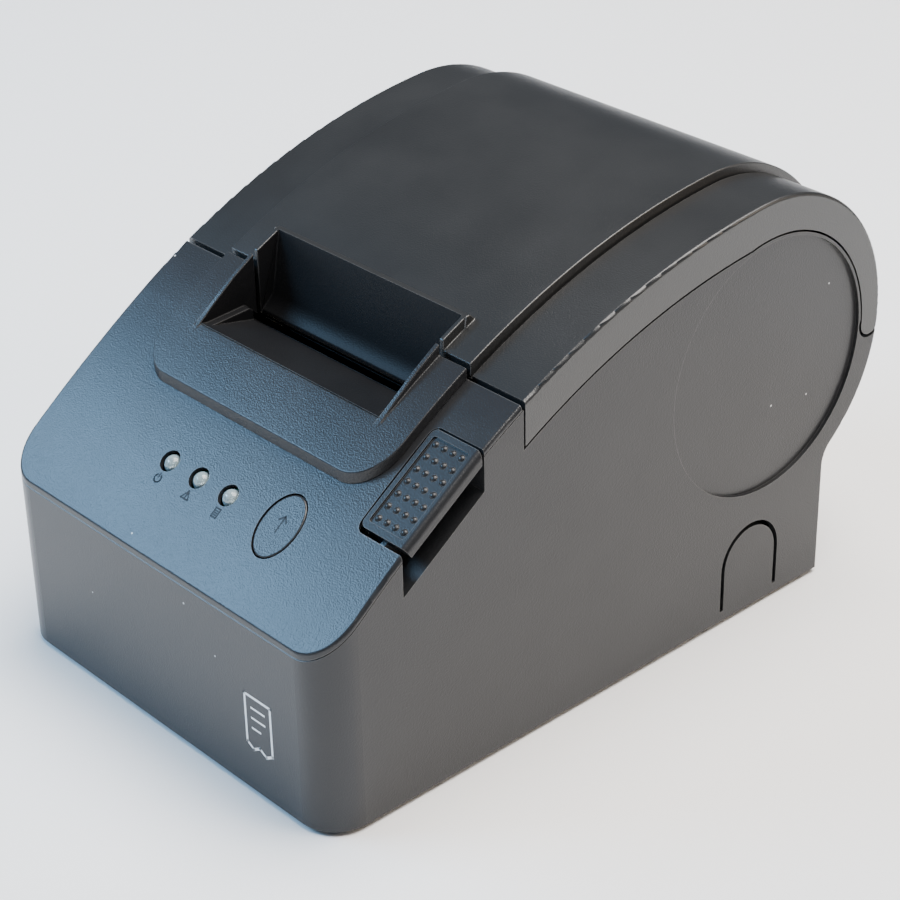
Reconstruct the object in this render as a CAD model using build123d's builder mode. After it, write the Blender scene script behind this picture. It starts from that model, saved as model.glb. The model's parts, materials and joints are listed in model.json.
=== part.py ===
from build123d import *
import os
from math import acos, cos, degrees, pi, radians, sin, sqrt, tan

# Desktop thermal receipt printer for 58 mm paper, in millimetres.
# +X is the right side, +Y the rear, +Z up. The origin is the middle of the footprint, on the table.

# Case
half_width = 66.0
front_y = -100.0
rear_wall_y = 80.0
foot_height = 1.5
wall = 2.2
corner_radius = 11.0
edge_round = 0.9
above_all = 140.0
below_all = -20.0

# Side outline: a front face, a sloped panel, a long crown and a round barrel over the paper roll
slope_foot = (front_y, 52.5)
slope_heading = 40.35
slope_radius = 456.0
slope_turn = 7.71
crown_radius = 217.3
crown_turn = 28.44
barrel_radius = 46.06
tuck_radius = 8.0

# Raised middle of the lid and of the paper exit
raise_height = 2.7
raised_half = 46.9
raised_barrel_radius = 46.23
raised_end_z = 84.0

# Front panel
panel_thick = 1.3
panel_gap = 0.25
led_xs = (-15.6, -3.6, 8.4)
led_names = ("power_led", "error_led", "paper_led")
controls_y = -81.5
led_radius = 2.6
led_hole_radius = 3.1
feed_x = 28.5
feed_radii = (6.3, 9.0)
feed_gap = 0.4
board_depth = 9.6
board_thick = 1.6

# Paper exit
seam_y = -35.2
seam_gap = 0.6
bezel_front_y = -68.0
bezel_corner = 11.5
exit_half = 35.6
exit_wall = 1.6
rim_wide = 1.5
rim_high = 2.4
rim_tip_y = -57.0
exit_rear_y = -27.0
tear_tip_y = -36.4
tear_pitch = 1.0

# Lid hinge, at the U-shaped ends of the cheeks
hinge_y = 96.3
hinge_z = 73.5
hinge_cup_radius = 4.2
hinge_cup_relief = 4.55
hinge_pin_radius = 1.5
running_gap = 0.05
knuckle_x = (53.8, 57.4)
ear_x = (58.2, 61.6)

# Round side boss over the roll
disc_y = 54.7
disc_z = 74.5
disc_radius = 36.7
disc_seam_radius = 37.5
disc_tilt = 1.0

# Platen, gear train and print head
platen_y = -31.0
platen_z = 78.5
platen_radius = 5.5
paper_half = 29.0
shaft_radius = 2.0
gear_module = 0.6
platen_teeth = 20
idler_teeth = 25
pinion_teeth = 10
tooth_rise = 0.85
tooth_depth = 1.2
tooth_fullness = 0.75
flank_angle = 20
gear_x = (-36.5, -33.5)
idler_y = platen_y
idler_z = platen_z - gear_module * (platen_teeth + idler_teeth) / 2
pinion_angle = 230.0
frame_half = 32.5
frame_sheet = 1.5
head_face_y = platen_y - platen_radius - 0.1

# Open lever at the right edge
lever_mid_y = -61.2
lever_half_long = 15.0
lever_x = (49.5, 66.0)
lever_thick = 3.2
lever_pin_radius = 1.0
pocket_front_y = -74.7
pocket_rear_y = -48.2

# Inner frame and paper well
roll_y = 52.0
roll_z = 69.5
well_radius = 33.0
well_half = 29.5
deck_z = 70.0
deck_front_y = -19.0
inner_half = 63.4
sheet = 2.0
shelf_z = 43.5

# Cable bay under the barrel
bay_front_y = 31.0
bay_roof_z = 33.0
board_z = 8.0


def follow(point, heading, radius, turn):
    """Centre, end and end heading of a clockwise arc that leaves a point."""
    start, stop = radians(heading), radians(heading - turn)
    centre = (point[0] + radius * sin(start), point[1] - radius * cos(start))
    end = (centre[0] - radius * sin(stop), centre[1] + radius * cos(stop))
    return centre, end, heading - turn


slope_centre, slope_end, crown_heading = follow(slope_foot, slope_heading, slope_radius, slope_turn)
crown_centre, crown_end, barrel_heading = follow(slope_end, crown_heading, crown_radius, crown_turn)
barrel_centre = follow(crown_end, barrel_heading, barrel_radius, 0)[0]
tuck_turn = degrees(acos((rear_wall_y + tuck_radius - barrel_centre[0]) / (barrel_radius + tuck_radius)))
barrel_turn = barrel_heading + 90 + tuck_turn


def direction(heading):
    return (cos(radians(heading)), sin(radians(heading)))


def roof_point(y, grow=0.0):
    """Height of the roof line, moved outwards by grow, ahead of the barrel."""
    on_slope = y < slope_end[0]
    centre = slope_centre if on_slope else crown_centre
    radius = (slope_radius if on_slope else crown_radius) + grow
    return centre[1] + sqrt(radius**2 - (y - centre[0]) ** 2)


def slope_plane(y, depth=0.0):
    """Plane on the front slope at y, sunk by depth: X across, Y up the slope, Z outwards."""
    lean = degrees(acos((slope_centre[0] - y) / slope_radius)) - 90
    outwards = (0, sin(radians(lean)), cos(radians(lean)))
    plane = Plane(origin=(0, y, roof_point(y)), x_dir=(1, 0, 0), z_dir=outwards)
    return plane.offset(-depth)


def roof_region(grow=0.0, raised=False):
    """Side view of everything below the roof line moved outwards by grow."""
    lean = radians(slope_heading)
    start = (slope_foot[0] - grow * sin(lean), slope_foot[1] + grow * cos(lean))
    last_radius = raised_barrel_radius if raised else barrel_radius + grow
    with BuildSketch(Plane.YZ) as region:
        with BuildLine():
            slope = JernArc(start, direction(slope_heading), slope_radius + grow, -slope_turn)
            crown = JernArc(slope @ 1, slope % 1, crown_radius + grow, -crown_turn)
            if raised:
                barrel = JernArc(crown @ 1, crown % 1, last_radius, -barrel_heading - 90)
                rear = barrel @ 1
            else:
                barrel = JernArc(crown @ 1, crown % 1, last_radius, -barrel_turn)
                tuck = JernArc(barrel @ 1, barrel % 1, tuck_radius - grow, tuck_turn)
                rear = tuck @ 1
            lead_in = Line(slope @ 0 - 40 * (slope % 0), slope @ 0)
            ahead = lead_in @ 0
            Polyline(rear, (rear.X, below_all), (ahead.X, below_all), (ahead.X, ahead.Y))
        make_face()
    return region.sketch


def plan_region(inset, front, rear, radius, z=below_all, half=half_width):
    """Plan view of the case, rounded at its two front corners."""
    with BuildSketch(Plane.XY.offset(z)) as region:
        with Locations((0, (front + rear) / 2)):
            Rectangle(2 * (half - inset), rear - front)
        fillet(region.vertices().group_by(Axis.Y)[0], radius)
    return region.sketch


def side_polygon(points):
    """Closed outline in the side view, from (y, z) points."""
    with BuildSketch(Plane.YZ) as outline:
        with BuildLine():
            Polyline(*points, close=True)
        make_face()
    return outline.sketch


def lid_region(inset=0.0):
    """Side view of everything above the seam between the case and the lid's cheeks."""
    meet_angle = radians(104)
    half_angle = meet_angle / 2
    seam_radius = disc_seam_radius + inset
    cup_radius = hinge_cup_radius - inset
    corner = (seam_y + inset, 85.3 + 1.63 * inset)
    bend = (5.3 - 0.32 * inset, 102.9 + 0.95 * inset)
    meet = (disc_y + seam_radius * cos(meet_angle), disc_z + seam_radius * sin(meet_angle))
    crest = (disc_y + seam_radius * cos(half_angle), disc_z + seam_radius * sin(half_angle))
    heel = (disc_y + seam_radius, disc_z)
    cup_left = (hinge_y - cup_radius, hinge_z)
    cup_right = (hinge_y + cup_radius, hinge_z)
    with BuildSketch(Plane.YZ) as region:
        with BuildLine():
            ThreePointArc(corner, bend, meet)
            ThreePointArc(meet, crest, heel)
            Line(heel, cup_left)
            ThreePointArc(cup_left, (hinge_y, hinge_z - cup_radius), cup_right)
            Polyline(cup_right, (112, hinge_z), (112, above_all), (corner[0], above_all), corner)
        make_face()
    return region.sketch


def gear_face(teeth, plane, turn=0.0):
    """Spur gear outline with slightly thin teeth, so that a pair runs free."""
    pitch = gear_module * teeth / 2
    tip = pitch + tooth_rise * gear_module
    root = pitch - tooth_depth * gear_module
    pitch_half = tooth_fullness * pi * gear_module / 4
    flank = tan(radians(flank_angle))
    low = pitch_half + tooth_depth * gear_module * flank
    high = pitch_half - tooth_rise * gear_module * flank
    foot = root - 0.4
    with BuildSketch() as tooth:
        with BuildLine():
            Polyline((foot, -low), (tip, -high), (tip, high), (foot, low), close=True)
        make_face()
    with BuildSketch(plane) as outline:
        Circle(root + 0.05)
        with PolarLocations(0, teeth, start_angle=turn):
            add(tooth.sketch)
    return outline.sketch


def across(face, low_x, high_x):
    """Solid of a side-view outline between two X limits."""
    return extrude(face.moved(Location((low_x, 0, 0))), amount=high_x - low_x, mode=Mode.PRIVATE)


def block(x, y, z, mode=Mode.ADD):
    """Box between pairs of limits, in the part being built."""
    with Locations(((x[0] + x[1]) / 2, (y[0] + y[1]) / 2, (z[0] + z[1]) / 2)):
        Box(x[1] - x[0], y[1] - y[0], z[1] - z[0], mode=mode)


def rod(x, y, z, radius, mode=Mode.ADD):
    """Cylinder along X between two limits, in the part being built."""
    with Locations(Location(((x[0] + x[1]) / 2, y, z), (0, 90, 0))):
        Cylinder(radius, x[1] - x[0], mode=mode)


def stud(x, y, z, radius, mode=Mode.ADD):
    """Upright cylinder between two heights, in the part being built."""
    with Locations((x, y, (z[0] + z[1]) / 2)):
        Cylinder(radius, z[1] - z[0], mode=mode)


def around(middle, half):
    """A pair of limits either side of a middle."""
    return (middle - half, middle + half)


def both_sides(low, high):
    """The X limits of a pair of features, right one first."""
    return ((low, high), (-high, -low))


def save(piece, name):
    piece.part.label = name
    export_step(piece.part, f"parts/{name}.step")


os.makedirs("parts", exist_ok=True)


# Whole case as one block, with its outer edges rounded
case_side = roof_region()
case_plan = plan_region(0, front_y, 110, corner_radius, z=foot_height)
with BuildPart() as case_block:
    extrude(case_side, amount=half_width, both=True)
    extrude(case_plan, amount=above_all, mode=Mode.INTERSECT)
    seams = case_block.edges().filter_by(lambda e: e.center().Z < foot_height + 0.01)
    seams += case_block.edges().filter_by(Axis.X).filter_by(lambda e: e.center().Y > front_y + 1)
    seams += case_block.edges().filter_by(Axis.Z).filter_by(lambda e: e.center().Y < 0)
    rim = [edge for edge in case_block.edges() if edge not in seams]
    fillet(rim, edge_round)


# The hollow inside the case, open underneath
hollow_side = roof_region(-wall)
hollow_plan = plan_region(wall, front_y + wall, 110, corner_radius - wall)
with BuildPart() as case_hollow:
    extrude(hollow_side, amount=half_width - wall, both=True)
    extrude(hollow_plan, amount=above_all - below_all, mode=Mode.INTERSECT)

with BuildPart() as case_shell:
    add(case_block.part)
    add(case_hollow.part, mode=Mode.SUBTRACT)

# Places shared by several pieces
lever_plane = slope_plane(lever_mid_y)
lever_pivot = lever_plane.from_local_coords(Vector(0, 2.0 - lever_half_long, -5.2))
pinion_y = idler_y + gear_module * (idler_teeth + pinion_teeth) / 2 * cos(radians(pinion_angle))
pinion_z = idler_z + gear_module * (idler_teeth + pinion_teeth) / 2 * sin(radians(pinion_angle))
cover_screw_spots = [(x, y) for x in (-58.5, 58.5) for y in (-84, 24)]
frame_screw_spots = [(-59, -45, shelf_z), (59, -45, shelf_z), (-59, 4, deck_z), (59, 4, deck_z)]
front_feet = [(-50, -84), (50, -84)]
rear_feet = [(-56.5, 71.5), (56.5, 71.5)]
switch_y = 10.0
switch_z = 26.0
pocket_outline = [(pocket_front_y, 60.9), (pocket_rear_y, 79.2), (pocket_rear_y, 92), (pocket_front_y, 76)]
liner_outline = [(pocket_front_y - 1.5, 58.4), (pocket_rear_y + 1.5, 78.7), (pocket_rear_y + 1.5, 92),
                 (pocket_front_y - 1.5, 78)]

# Lower case: side walls, front and rear walls, finger pocket, hinge knuckles and screw posts
lid_cut = lid_region()
skin_cut = roof_region(-panel_thick - panel_gap)
liner_top = roof_region(-lever_thick - 0.5)
pocket_void = across(side_polygon(pocket_outline), 56.5, 70)
pocket_liner = across(side_polygon(liner_outline), 55.0, half_width - wall) & across(liner_top, 40, 70)
wall_below_lid = across(lid_cut, -70, 70)
ahead_of_lid = Pos(0, seam_y - 100, 0) * Box(200, 200, 400)
panel_room = ahead_of_lid - across(skin_cut, -100, 100)
open_top = extrude(hollow_plan, amount=above_all - below_all, mode=Mode.PRIVATE) & ahead_of_lid
with BuildSketch(Plane.YZ.offset(-70)) as arch_outline:
    with Locations((50.5, 4.5)):
        Rectangle(23, 12.5, align=(Align.CENTER, Align.MIN))
    with Locations((50.5, 17)):
        Circle(11.5)
    with Locations((50.5, 4.5)):
        Rectangle(20.2, 12.5, align=(Align.CENTER, Align.MIN), mode=Mode.SUBTRACT)
    with Locations((50.5, 17)):
        Circle(10.1, mode=Mode.SUBTRACT)
with BuildPart() as lower_case:
    add(case_shell.part)
    add(open_top, mode=Mode.SUBTRACT)
    for x in (-58.5, 58.5):
        for y in (-84, 24):
            stud(x, y, (3.5, 14), 5.6)
    for x, y, z in frame_screw_spots:
        stud(x, y, (z - sheet - 12, z - sheet), 5.2)
    for x, y in rear_feet:
        block((x - 7.4, x + 7.4), (y - 5.5, y + 6.4), (foot_height, 5))
    for x, y in rear_feet:
        stud(x, y, (0, 3.5), 2.0, mode=Mode.SUBTRACT)
    for x, y in cover_screw_spots:
        stud(x, y, (0, 11), 1.2, mode=Mode.SUBTRACT)
    for x, y, z in frame_screw_spots:
        stud(x, y, (z - sheet - 8, z), 1.2, mode=Mode.SUBTRACT)
    add(wall_below_lid, mode=Mode.SUBTRACT)
    rod((-70, 70), hinge_y, hinge_z, hinge_cup_relief, mode=Mode.SUBTRACT)
    add(pocket_liner)
    add(pocket_void, mode=Mode.SUBTRACT)
    rod((50, 56.5), lever_pivot.Y, lever_pivot.Z, lever_pin_radius, mode=Mode.SUBTRACT)
    for x in both_sides(*knuckle_x):
        rod(x, hinge_y, hinge_z, 3.4)
        block(x, (hinge_y - 3.4, hinge_y), (60, hinge_z))
        rod(x, hinge_y, hinge_z, hinge_pin_radius, mode=Mode.SUBTRACT)
    add(case_block.part, mode=Mode.INTERSECT)
    extrude(arch_outline.sketch, amount=140, mode=Mode.SUBTRACT)
    for side in (-1, 1):
        with Locations(Location((side * (half_width + 3.9), disc_y, disc_z), (0, 90, side * disc_tilt))):
            Cylinder(disc_radius, 10, mode=Mode.SUBTRACT)
    block((-22, 22), (rear_wall_y - 5, rear_wall_y + 5), (0, 13), mode=Mode.SUBTRACT)
    add(panel_room, mode=Mode.SUBTRACT)
    block((-70, -60), around(switch_y, 9.6), around(switch_z, 6.6), mode=Mode.SUBTRACT)
save(lower_case, "lower_case")

# Bottom cover: floor plate with the step that makes the cable bay, and four board posts
socket_cuts = {"usb_socket": (-6.2, 6.2, 9.4, 20.8), "drawer_socket": (18.8, 32.2, 9.4, 22.4),
               "dc_jack": (-34.7, -25.3, 9.4, 20.8)}
board_post_spots = [(x, y) for x in (-46, 46) for y in (-72, 20)]
cover_inset = wall + 0.4
cover_rear_y = bay_front_y + sheet
cover_plan = plan_region(cover_inset, front_y + cover_inset, cover_rear_y, corner_radius - wall, foot_height)
with BuildPart() as bottom_cover:
    extrude(cover_plan, amount=sheet)
    block((-63.4, 63.4), (bay_front_y, bay_front_y + sheet), (foot_height, bay_roof_z))
    block((-63.4, 63.4), (bay_front_y, rear_wall_y - wall - 0.4), (bay_roof_z - sheet, bay_roof_z))
    for x, y in board_post_spots:
        stud(x, y, (foot_height, board_z), 2.6)
        stud(x, y, (foot_height + 1, board_z), 1.0, mode=Mode.SUBTRACT)
    for x, y in cover_screw_spots:
        stud(x, y, (foot_height + sheet, bay_roof_z - 3), 6.2, mode=Mode.SUBTRACT)
        stud(x, y, (0, 5), 1.6, mode=Mode.SUBTRACT)
        stud(x, y, (0, 2.5), 3.0, mode=Mode.SUBTRACT)
    for x, y in front_feet:
        stud(x, y, (0, 3.5), 2.0, mode=Mode.SUBTRACT)
    for low_x, high_x, low_z, high_z in socket_cuts.values():
        block((low_x, high_x), around(bay_front_y + 1, 2), (low_z, high_z), mode=Mode.SUBTRACT)
save(bottom_cover, "bottom_cover")

with BuildPart() as cover_screws:
    for x, y in cover_screw_spots:
        stud(x, y, (1.7, 2.45), 2.8)
        stud(x, y, (2.4, 11), 1.2)
save(cover_screws, "cover_screws")

with BuildPart() as rubber_feet:
    for x, y in front_feet + rear_feet:
        stud(x, y, (0, foot_height), 5.5)
        stud(x, y, (foot_height - 0.1, 3.4), 2.0)
save(rubber_feet, "rubber_feet")

# Sloped front panel with holes for the lights, the feed button, the open lever and the paper exit
feed_plane = slope_plane(controls_y)
exit_room = exit_half + exit_wall + 0.3
with BuildSketch(Plane.XY.offset(40)) as lever_hole:
    with Locations(((lever_x[0] - 0.6 + 75) / 2, (pocket_front_y + pocket_rear_y) / 2)):
        Rectangle(75 - lever_x[0] + 0.6, pocket_rear_y - pocket_front_y)
    fillet(lever_hole.vertices().group_by(Axis.X)[0], 2.5)
with BuildSketch(feed_plane.offset(5)) as feed_hole:
    with Locations((feed_x, 0)):
        Ellipse(feed_radii[0] + feed_gap, feed_radii[1] + feed_gap)
with BuildSketch(feed_plane.offset(5)) as led_holes:
    with Locations([(x, 0) for x in led_xs]):
        Circle(led_hole_radius)
under_panel = across(roof_region(-panel_thick), -70, 70)
with BuildPart() as front_panel:
    add(case_block.part)
    add(under_panel, mode=Mode.SUBTRACT)
    block((-70, 70), (seam_y - seam_gap, 110), (0, above_all), mode=Mode.SUBTRACT)
    block((-exit_room, exit_room), (-54.5, 0), (0, above_all), mode=Mode.SUBTRACT)
    extrude(lever_hole.sketch, amount=60, mode=Mode.SUBTRACT)
    extrude(feed_hole.sketch, amount=-10, mode=Mode.SUBTRACT)
    extrude(led_holes.sketch, amount=-10, mode=Mode.SUBTRACT)
    with Locations(feed_plane):
        with Locations([(x, s, -(1.8 + board_depth) / 2) for x in (-21, 39) for s in (-10, 10)]):
            Cylinder(2.4, board_depth - 1.8)
save(front_panel, "front_panel")

# Raised surround of the paper exit, with the sloped floor that leads to the tear bar
raised_side = roof_region(raise_height, raised=True)
surround_plan = plan_region(0, bezel_front_y, seam_y - seam_gap, bezel_corner, z=0, half=raised_half)
floor_front = (-54.5, 89.7)
floor_rear = (-38.8, 86.5)
tub_outline = [(-54.5, 88.2), (-47, 87.3), (-38.8, 86.1), (-38.8, 83.6), (seam_y - seam_gap, 83.6),
               (seam_y - seam_gap, above_all), (-54.5, above_all)]
tub_void = [floor_front, floor_rear, (-38.8, 60), (-30, 60), (-30, above_all), (-54.5, above_all)]
exit_tub = across(side_polygon(tub_outline), -exit_half - exit_wall, exit_half + exit_wall)
exit_tub = exit_tub & across(raised_side, -50, 50)
raised_band = across(raised_side, -raised_half, raised_half) - across(case_side, -60, 60)


def rim_height(y, climb):
    """Height of the rim's crest, which climbs from nothing at its front tips."""
    return roof_point(y, raise_height) + climb * rim_high / cos(radians(32))


side_rim = [(rim_tip_y, rim_height(rim_tip_y, 0)), (-50, rim_height(-50, 0.42)),
            (-43, rim_height(-43, 0.78)),
            (seam_y - seam_gap, rim_height(seam_y - seam_gap, 1)), (seam_y - seam_gap, 95), (rim_tip_y, 85)]
step_rib = [(-53, 89.3), (-40, 90.0), (-38.8, 89.0), (-38.8, 86.4), (-53, 89.1)]
with BuildPart() as exit_surround:
    add(raised_band)
    extrude(surround_plan, amount=above_all, mode=Mode.INTERSECT)
    add(exit_tub)
    add(across(side_polygon(tub_void), -exit_half, exit_half), mode=Mode.SUBTRACT)
    for x in both_sides(exit_half, exit_half + rim_wide):
        add(across(side_polygon(side_rim), *x) - across(case_side, -60, 60))
    for x in both_sides(exit_half - 2.4, exit_half):
        add(across(side_polygon(step_rib), *x))
save(exit_surround, "exit_surround")

# Steel tear bar with a serrated edge
with BuildSketch(Plane.XY.offset(85.2)) as tear_outline:
    with Locations((0, (tear_tip_y - 0.9 - 46) / 2)):
        Rectangle(2 * paper_half, 46 + tear_tip_y - 0.9)
    with GridLocations(tear_pitch, 1, round(2 * paper_half / tear_pitch), 1):
        with BuildLine():
            Polyline((-0.5, tear_tip_y - 0.95), (0, tear_tip_y), (0.5, tear_tip_y - 0.95), close=True)
        make_face()
with BuildPart() as tear_bar:
    extrude(tear_outline.sketch, amount=0.8)
save(tear_bar, "tear_bar")

# Lights: a clear body with a domed top, a flange and two legs each, on one board with the feed switch
for name, x in zip(led_names, led_xs):
    with BuildPart() as led:
        with Locations(feed_plane):
            with Locations((x, 0, -4.0)):
                Cylinder(led_radius, 4.0)
            with Locations((x, 0, -2.0)):
                Sphere(led_radius)
            with Locations((x, 0, -6.5)):
                Cylinder(led_radius + 0.35, 1.0)
            with Locations([(x - 1.27, 0, -8.3), (x + 1.27, 0, -8.3)]):
                Box(0.5, 0.5, 2.6)
    save(led, name)

with BuildPart() as panel_board:
    with Locations(feed_plane):
        with Locations((9, 0, -board_depth - board_thick / 2)):
            Box(66, 26, board_thick)
save(panel_board, "panel_board")

with BuildPart() as feed_switch:
    with Locations(feed_plane):
        with Locations((feed_x, 0, -board_depth + 1.7)):
            Box(6, 6, 3.4)
        with Locations((feed_x, 0, -board_depth + 3.5)):
            Cylinder(1.7, 0.4)
save(feed_switch, "feed_switch")

# Oval feed button with a retaining flange and a stem over its switch
with BuildSketch(feed_plane) as feed_oval:
    with Locations((feed_x, 0)):
        Ellipse(*feed_radii)
with BuildSketch(feed_plane.offset(-panel_thick - 0.5)) as feed_flange:
    with Locations((feed_x, 0)):
        Ellipse(feed_radii[0] + 1.2, feed_radii[1] + 1.2)
with BuildPart() as feed_button:
    extrude(feed_oval.sketch, amount=-2.6)
    fillet(feed_button.edges().filter_by(lambda e: feed_plane.to_local_coords(e.center()).Z > -0.1), 0.5)
    extrude(feed_flange.sketch, amount=-1.0)
    with Locations(feed_plane):
        with Locations((feed_x, 0, -3.8)):
            Cylinder(2.0, 2.2)
save(feed_button, "feed_button")

# Open lever: ribbed thumb pad, inner web, pivot lugs and the finger that reaches the platen shaft
pad_x = (50.9, 63.4)
dot_pitch_x = 3.05
dot_pitch_s = 3.75
dot_radius = 1.15
dot_top = 0.08
lever_round = 1.8
with BuildSketch(lever_plane) as lever_top:
    with Locations(((lever_x[0] + lever_x[1]) / 2, 0)):
        Rectangle(lever_x[1] - lever_x[0], 2 * lever_half_long)
    fillet(lever_top.vertices().group_by(Axis.X)[0], 2.0)
with BuildSketch(lever_plane) as pad_recess:
    with Locations(((pad_x[0] + pad_x[1]) / 2, 0)):
        RectangleRounded(pad_x[1] - pad_x[0], 2 * lever_half_long - 4, 0.8)
finger_path = [(-58, 75.5), (-50, 80), (-44, 80.5), (-36, 79), (-33.7, 76.5), (-33.7, 74.5), (-40, 75),
               (-50, 75.5), (-58, 70.5)]
finger_root = [(-58, 75.5), (-50, 80), (-50, 75.5), (-58, 70.5)]
with BuildPart() as open_lever:
    extrude(lever_top.sketch, amount=-lever_thick)
    outer_edges = open_lever.edges().filter_by(lambda e: abs(e.center().X - lever_x[1]) < 0.01)
    fillet(outer_edges.filter_by(lambda e: lever_plane.to_local_coords(e.center()).Z > -0.1), lever_round)
    extrude(pad_recess.sketch, amount=-0.5, mode=Mode.SUBTRACT)
    with Locations(lever_plane):
        with Locations(((pad_x[0] + pad_x[1]) / 2, 0, dot_top - dot_radius)):
            with GridLocations(dot_pitch_x, dot_pitch_s, 4, 7):
                Sphere(dot_radius)
        with Locations((lever_x[0] + 0.8, -2, -6)):
            Box(1.6, 2 * lever_half_long - 12, 6.4)
    block((40, 70), (pocket_rear_y - 0.7, 0), (60, 110), mode=Mode.SUBTRACT)
    for x in ((lever_x[0] + 0.5, lever_x[0] + 1.7), (53.2, 54.4)):
        rod(x, lever_pivot.Y, lever_pivot.Z, 2.2)
        rod(x, lever_pivot.Y, lever_pivot.Z, lever_pin_radius + running_gap, mode=Mode.SUBTRACT)
    add(across(side_polygon(finger_root), 44, lever_x[0] + 1.6))
    add(across(side_polygon(finger_path), 44, 46))
save(open_lever, "open_lever")

with BuildPart() as lever_pin:
    rod((49.7, 56.5), lever_pivot.Y, lever_pivot.Z, lever_pin_radius)
save(lever_pin, "lever_pin")

with BuildPart() as lever_spring:
    for turn in range(3):
        with Locations(Location((51.75 + 0.55 * turn, lever_pivot.Y, lever_pivot.Z), (0, 90, 0))):
            Torus(1.4, 0.25)
save(lever_spring, "lever_spring")

# Lid: roof and cheeks, with a shallow bed for the raised panel and two hinge ears
lid_side = lid_region(seam_gap)
raised_bed = across(roof_region(20), -raised_half - 0.6, raised_half + 0.6)
raised_bed -= across(roof_region(-0.7), -60, 60)
bed_limits = Pos(0, (seam_y - 5 + 110) / 2, raised_end_z - 0.4 + 50) * Box(200, 110 - seam_y + 5, 100)
with BuildPart() as lid_frame:
    add(case_shell.part)
    for x in both_sides(*ear_x):
        rod(x, hinge_y, hinge_z, hinge_cup_radius - seam_gap)
        block(x, (hinge_y - 3.6, 98.5), (hinge_z, 84))
    for x in both_sides(knuckle_x[0] - 1, ear_x[1] + 0.4):
        rod(x, hinge_y, hinge_z, hinge_pin_radius + running_gap, mode=Mode.SUBTRACT)
    add(across(lid_side, -70, 70), mode=Mode.INTERSECT)
    add(case_block.part, mode=Mode.INTERSECT)
    add(raised_bed & bed_limits, mode=Mode.SUBTRACT)
    block((-exit_room, exit_room), (-60, exit_rear_y + 3.2), (80, above_all), mode=Mode.SUBTRACT)
    for x in both_sides(knuckle_x[0] - 0.5, knuckle_x[1] + 0.5):
        block(x, (80, 110), (60, 79.5), mode=Mode.SUBTRACT)
save(lid_frame, "lid_frame")

# Raised lid panel with the rear half of the exit recess: rim, rear wall and side walls
panel_band = across(raised_side, -raised_half, raised_half) - across(roof_region(-0.7), -60, 60)
panel_front_y = seam_y + seam_gap
panel_limits = Pos(0, (panel_front_y + 110) / 2, raised_end_z + 50) * Box(200, 110 - panel_front_y, 100)
rim_rear_y = exit_rear_y + rim_wide
rim_foot_y = rim_rear_y + 1.5
rear_wall = [(exit_rear_y, rim_height(exit_rear_y, 1)), (-30, 90.5), (-34, 86.8), (-34, 85.3),
             (-30.4, 85.3), (-27.6, 90), (-25.4, 101), (rim_foot_y, 103),
             (rim_foot_y, roof_point(rim_foot_y, raise_height)), (rim_rear_y, rim_height(rim_rear_y, 0.8))]
recess_room = [(panel_front_y - 1, 80), (exit_rear_y, 80), (exit_rear_y, 140), (panel_front_y - 1, 140)]
side_walls = [(panel_front_y, 86), (-33.8, 85.3), (-30.4, 85.3), (-27.6, 90), (-25.4, 101), (-25.4, 104),
              (panel_front_y, 99)]
side_crest = [(panel_front_y, rim_height(panel_front_y, 1)), (exit_rear_y, rim_height(exit_rear_y, 1)),
              (rim_rear_y, rim_height(rim_rear_y, 0.8)), (rim_rear_y, 100), (panel_front_y, 96)]
with BuildPart() as lid_panel:
    add(panel_band & panel_limits)
    add(across(side_polygon(recess_room), -exit_half, exit_half), mode=Mode.SUBTRACT)
    add(across(side_polygon(rear_wall), -exit_half - exit_wall, exit_half + exit_wall))
    for x in both_sides(exit_half, exit_half + exit_wall):
        add(across(side_polygon(side_walls), *x))
    for x in both_sides(exit_half, exit_half + rim_wide):
        add(across(side_polygon(side_crest), *x))
save(lid_panel, "lid_panel")

# Platen bracket under the roof, its bushings and screws
bracket_band = across(roof_region(-wall - 0.1), -40, 40) - across(roof_region(-wall - 2.1), -50, 50)
bracket_limits = Pos(0, -8, 90) * Box(200, 31, 80)
arm_outline = [(-34.2, 79), (-34.2, 94.3), (-24, 99.2), (-18, 101), (-27.2, 79)]
bracket_screw_spots = [(x, y) for x in (-30, 30) for y in (-16, 2)]
with BuildPart() as platen_bracket:
    add(bracket_band & bracket_limits)
    for x in both_sides(38, 40):
        add(across(side_polygon(arm_outline), *x))
        rod(x, platen_y, platen_z, 4.2)
        rod(x, platen_y, platen_z, 3.2, mode=Mode.SUBTRACT)
    for x, y in bracket_screw_spots:
        stud(x, y, (80, 120), 1.2, mode=Mode.SUBTRACT)
save(platen_bracket, "platen_bracket")

with BuildPart() as platen_bushings:
    for x in both_sides(38, 40):
        rod(x, platen_y, platen_z, 3.2)
        rod(x, platen_y, platen_z, shaft_radius + running_gap, mode=Mode.SUBTRACT)
save(platen_bushings, "platen_bushings")

with BuildPart() as bracket_screws:
    for x, y in bracket_screw_spots:
        head_z = roof_point(y, -wall - 2.1) - 1.0
        stud(x, y, (head_z - 1.6, head_z), 2.4)
        stud(x, y, (head_z - 0.1, head_z + 2.6), 1.2)
save(bracket_screws, "bracket_screws")

with BuildPart() as platen_shaft:
    rod((-41, 46), platen_y, platen_z, shaft_radius)
save(platen_shaft, "platen_shaft")

with BuildPart() as platen_roller:
    rod((-paper_half, paper_half), platen_y, platen_z, platen_radius)
    rod((-paper_half, paper_half), platen_y, platen_z, shaft_radius, mode=Mode.SUBTRACT)
    fillet(platen_roller.edges().filter_by(GeomType.CIRCLE).filter_by(lambda e: e.radius > 5), 0.3)
save(platen_roller, "platen_roller")

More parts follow.
